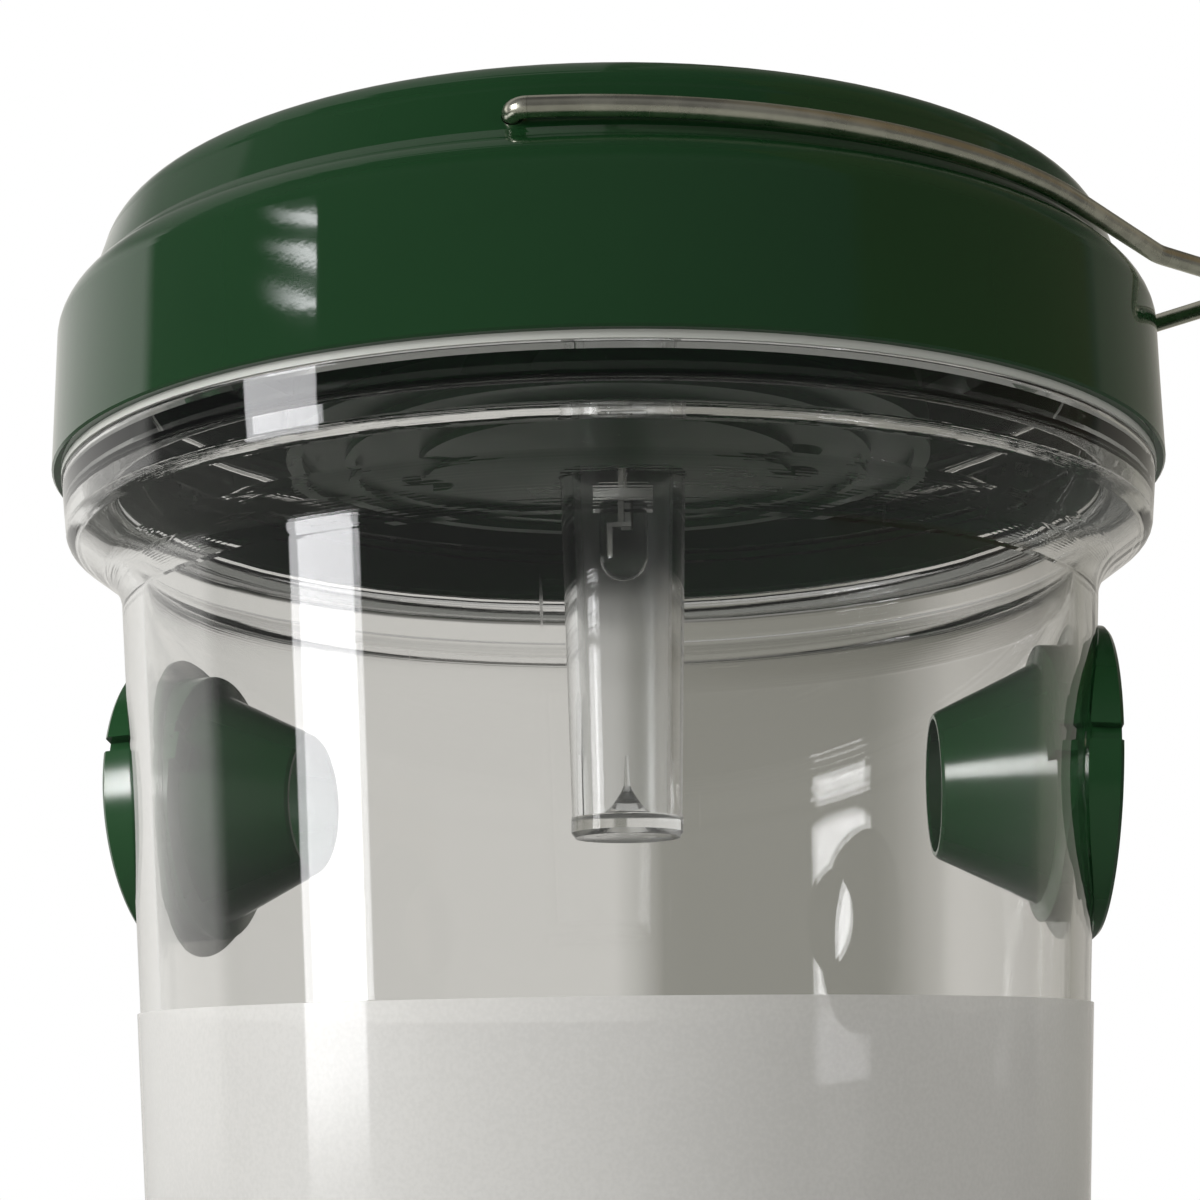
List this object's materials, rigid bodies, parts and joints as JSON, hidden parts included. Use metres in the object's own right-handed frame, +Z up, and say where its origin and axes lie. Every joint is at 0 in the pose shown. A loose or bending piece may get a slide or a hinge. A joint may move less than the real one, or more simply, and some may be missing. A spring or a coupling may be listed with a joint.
{
  "type": "bee bait trap",
  "caption": "Clear hanging jar trap with green side entry funnels, a screw lid with a wire bail and a lamp in a clear light tube inside.",
  "frame": {"origin": "middle of the jar's base, on the flat foot ring's plane", "axes": "+Z up along the jar's axis, the entry funnels on +X and -X, the bail's pivots on +Y and -Y"},
  "size_m": [0.1229, 0.112, 0.1676],
  "materials": {
    "clear_jar": "clear gloss plastic",
    "label_film": "satin film",
    "green_plastic": "gloss",
    "seal": "satin",
    "wire": "drawn wire",
    "screw_steel": "plated",
    "clear_rod": "clear gloss plastic",
    "led_epoxy": "clear epoxy",
    "tinned": "tinned",
    "pale_nylon": "matte",
    "board": "solder mask",
    "chip": "moulded",
    "ferrite": "matte",
    "cell_sleeve": "shrink sleeve",
    "lead_red": "wire cover",
    "lead_black": "wire cover",
    "panel_back": "laminate",
    "silicon": "silicon",
    "resin": "clear resin"
  },
  "bodies": {
    "jar_body": {"jar": "clear_jar", "label_band": "label_film", "entry_funnel_right": "green_plastic", "entry_funnel_left": "green_plastic"},
    "seal_body": {"seal_ring": "seal"},
    "lid_body": {"lid_shell": "green_plastic", "bay_cover": "green_plastic", "cover_screws": "screw_steel", "light_guide": "clear_rod", "led_lens": "led_epoxy", "led_leads": "tinned", "led_spacer": "pale_nylon", "circuit_board": "board", "board_screws": "screw_steel", "driver_chip": "chip", "inductor": "ferrite", "cell": "cell_sleeve", "cell_contact_positive": "tinned", "cell_contact_spring": "tinned", "cell_leads": "lead_red", "solar_panel": "panel_back", "solar_cells": "silicon", "panel_resin": "resin", "panel_leads": "lead_black"},
    "bail_body": {"bail": "wire"}
  },
  "joints": [
    {"name": "lid_lift", "type": "slide", "parent": "jar_body", "child": "seal_body", "axis": [0, 0, 1], "range_m": [0, 0.00676]},
    {"name": "lid_turn", "type": "hinge", "parent": "seal_body", "child": "lid_body", "pos_m": [0, 0, 0.142], "axis": [0, 0, 1], "range_deg": [0, 540]},
    {"name": "bail_swing", "type": "hinge", "parent": "lid_body", "child": "bail_body", "pos_m": [0, 0, 0.1614], "axis": [0, -1, 0], "range_deg": [0, 182.2]}
  ],
  "couplings": [
    {"joint": "lid_lift", "follows": "lid_turn", "m_per_rad": 0.0007162}
  ]
}
